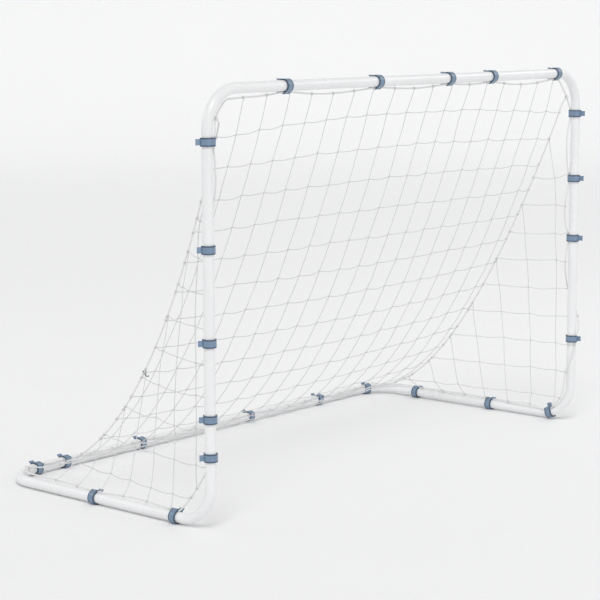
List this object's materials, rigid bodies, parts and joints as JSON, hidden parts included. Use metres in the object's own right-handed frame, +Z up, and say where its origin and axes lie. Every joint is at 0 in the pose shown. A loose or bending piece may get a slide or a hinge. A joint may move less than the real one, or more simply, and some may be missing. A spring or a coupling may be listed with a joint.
{
  "type": "hockey goal net",
  "caption": "Portable sports goal: round white steel-tube frame with bent corners and snap-button joints, a deep sagging white net, its cords and blue plastic net clips.",
  "frame": {"origin": "on the ground, midway between the two posts, in the plane of the posts' centre lines", "axes": "+X from the left post to the right post as seen from in front of the mouth, +Y from the mouth to the rear bar, +Z up"},
  "size_m": [1.9237, 0.9418, 1.2552],
  "materials": {
    "frame_white": "smooth glossy white powder coat",
    "button_steel": "bright plated steel",
    "spring_steel": "plain spring steel",
    "clip_plastic": "satin steel-blue moulded plastic",
    "net_twine": "thin white knotted twine",
    "net_cord": "white braided cord",
    "hook_wire": "dark grey coated wire"
  },
  "bodies": {
    "root": {"crossbar_left": "frame_white", "crossbar_right": "frame_white", "corner_top_left": "frame_white", "corner_top_right": "frame_white", "post_left": "frame_white", "post_right": "frame_white", "corner_front_left": "frame_white", "corner_front_right": "frame_white", "side_bar_left": "frame_white", "side_bar_right": "frame_white", "corner_rear_left": "frame_white", "corner_rear_right": "frame_white", "rear_bar_left": "frame_white", "rear_bar_right": "frame_white", "spring_crossbar_middle": "spring_steel", "spring_crossbar_left": "spring_steel", "spring_crossbar_right": "spring_steel", "spring_post_left_top": "spring_steel", "spring_post_right_top": "spring_steel", "spring_post_left_foot": "spring_steel", "spring_post_right_foot": "spring_steel", "spring_side_left_front": "spring_steel", "spring_side_right_front": "spring_steel", "spring_side_left_rear": "spring_steel", "spring_side_right_rear": "spring_steel", "spring_rear_left": "spring_steel", "spring_rear_right": "spring_steel", "spring_rear_middle": "spring_steel", "clips_crossbar": "clip_plastic", "clips_post_left": "clip_plastic", "clips_post_right": "clip_plastic", "clips_side_left": "clip_plastic", "clips_side_right": "clip_plastic", "clips_rear_bar": "clip_plastic", "net_back": "net_twine", "net_side_left": "net_twine", "net_side_right": "net_twine", "border_cord": "net_cord", "seam_cord_left": "net_cord", "seam_cord_right": "net_cord"},
    "button_crossbar_middle": {"button_crossbar_middle": "button_steel"},
    "button_crossbar_left": {"button_crossbar_left": "button_steel"},
    "button_crossbar_right": {"button_crossbar_right": "button_steel"},
    "button_post_left_top": {"button_post_left_top": "button_steel"},
    "button_post_right_top": {"button_post_right_top": "button_steel"},
    "button_post_left_foot": {"button_post_left_foot": "button_steel"},
    "button_post_right_foot": {"button_post_right_foot": "button_steel"},
    "button_side_left_front": {"button_side_left_front": "button_steel"},
    "button_side_right_front": {"button_side_right_front": "button_steel"},
    "button_side_left_rear": {"button_side_left_rear": "button_steel"},
    "button_side_right_rear": {"button_side_right_rear": "button_steel"},
    "button_rear_left": {"button_rear_left": "button_steel"},
    "button_rear_right": {"button_rear_right": "button_steel"},
    "button_rear_middle": {"button_rear_middle": "button_steel"},
    "s_hook": {"s_hook": "hook_wire"}
  },
  "joints": [
    {"name": "press_crossbar_middle", "type": "slide", "parent": "root", "child": "button_crossbar_middle", "axis": [0, -1, 0], "range_m": [0, 0.0044], "stiffness_N_per_m": 1500, "springref_m": -0.003},
    {"name": "press_crossbar_left", "type": "slide", "parent": "root", "child": "button_crossbar_left", "axis": [0, -1, 0], "range_m": [0, 0.0044], "stiffness_N_per_m": 1500, "springref_m": -0.003},
    {"name": "press_crossbar_right", "type": "slide", "parent": "root", "child": "button_crossbar_right", "axis": [0, -1, 0], "range_m": [0, 0.0044], "stiffness_N_per_m": 1500, "springref_m": -0.003},
    {"name": "press_post_left_top", "type": "slide", "parent": "root", "child": "button_post_left_top", "axis": [0, -1, 0], "range_m": [0, 0.0044], "stiffness_N_per_m": 1500, "springref_m": -0.003},
    {"name": "press_post_right_top", "type": "slide", "parent": "root", "child": "button_post_right_top", "axis": [0, -1, 0], "range_m": [0, 0.0044], "stiffness_N_per_m": 1500, "springref_m": -0.003},
    {"name": "press_post_left_foot", "type": "slide", "parent": "root", "child": "button_post_left_foot", "axis": [0, -1, 0], "range_m": [0, 0.0044], "stiffness_N_per_m": 1500, "springref_m": -0.003},
    {"name": "press_post_right_foot", "type": "slide", "parent": "root", "child": "button_post_right_foot", "axis": [0, -1, 0], "range_m": [0, 0.0044], "stiffness_N_per_m": 1500, "springref_m": -0.003},
    {"name": "press_side_left_front", "type": "slide", "parent": "root", "child": "button_side_left_front", "axis": [-1, 0, 0], "range_m": [0, 0.0044], "stiffness_N_per_m": 1500, "springref_m": -0.003},
    {"name": "press_side_right_front", "type": "slide", "parent": "root", "child": "button_side_right_front", "axis": [-1, 0, 0], "range_m": [0, 0.0044], "stiffness_N_per_m": 1500, "springref_m": -0.003},
    {"name": "press_side_left_rear", "type": "slide", "parent": "root", "child": "button_side_left_rear", "axis": [-1, 0, 0], "range_m": [0, 0.0044], "stiffness_N_per_m": 1500, "springref_m": -0.003},
    {"name": "press_side_right_rear", "type": "slide", "parent": "root", "child": "button_side_right_rear", "axis": [-1, 0, 0], "range_m": [0, 0.0044], "stiffness_N_per_m": 1500, "springref_m": -0.003},
    {"name": "press_rear_left", "type": "slide", "parent": "root", "child": "button_rear_left", "axis": [0, -1, 0], "range_m": [0, 0.0044], "stiffness_N_per_m": 1500, "springref_m": -0.003},
    {"name": "press_rear_right", "type": "slide", "parent": "root", "child": "button_rear_right", "axis": [0, -1, 0], "range_m": [0, 0.0044], "stiffness_N_per_m": 1500, "springref_m": -0.003},
    {"name": "press_rear_middle", "type": "slide", "parent": "root", "child": "button_rear_middle", "axis": [0, -1, 0], "range_m": [0, 0.0044], "stiffness_N_per_m": 1500, "springref_m": -0.003},
    {"name": "s_hook_swing", "type": "hinge", "parent": "root", "child": "s_hook", "pos_m": [-0.82764, 0.362, 0.39714], "axis": [0.0194, 0.5522, -0.8335], "range_deg": [-30, 60]}
  ]
}
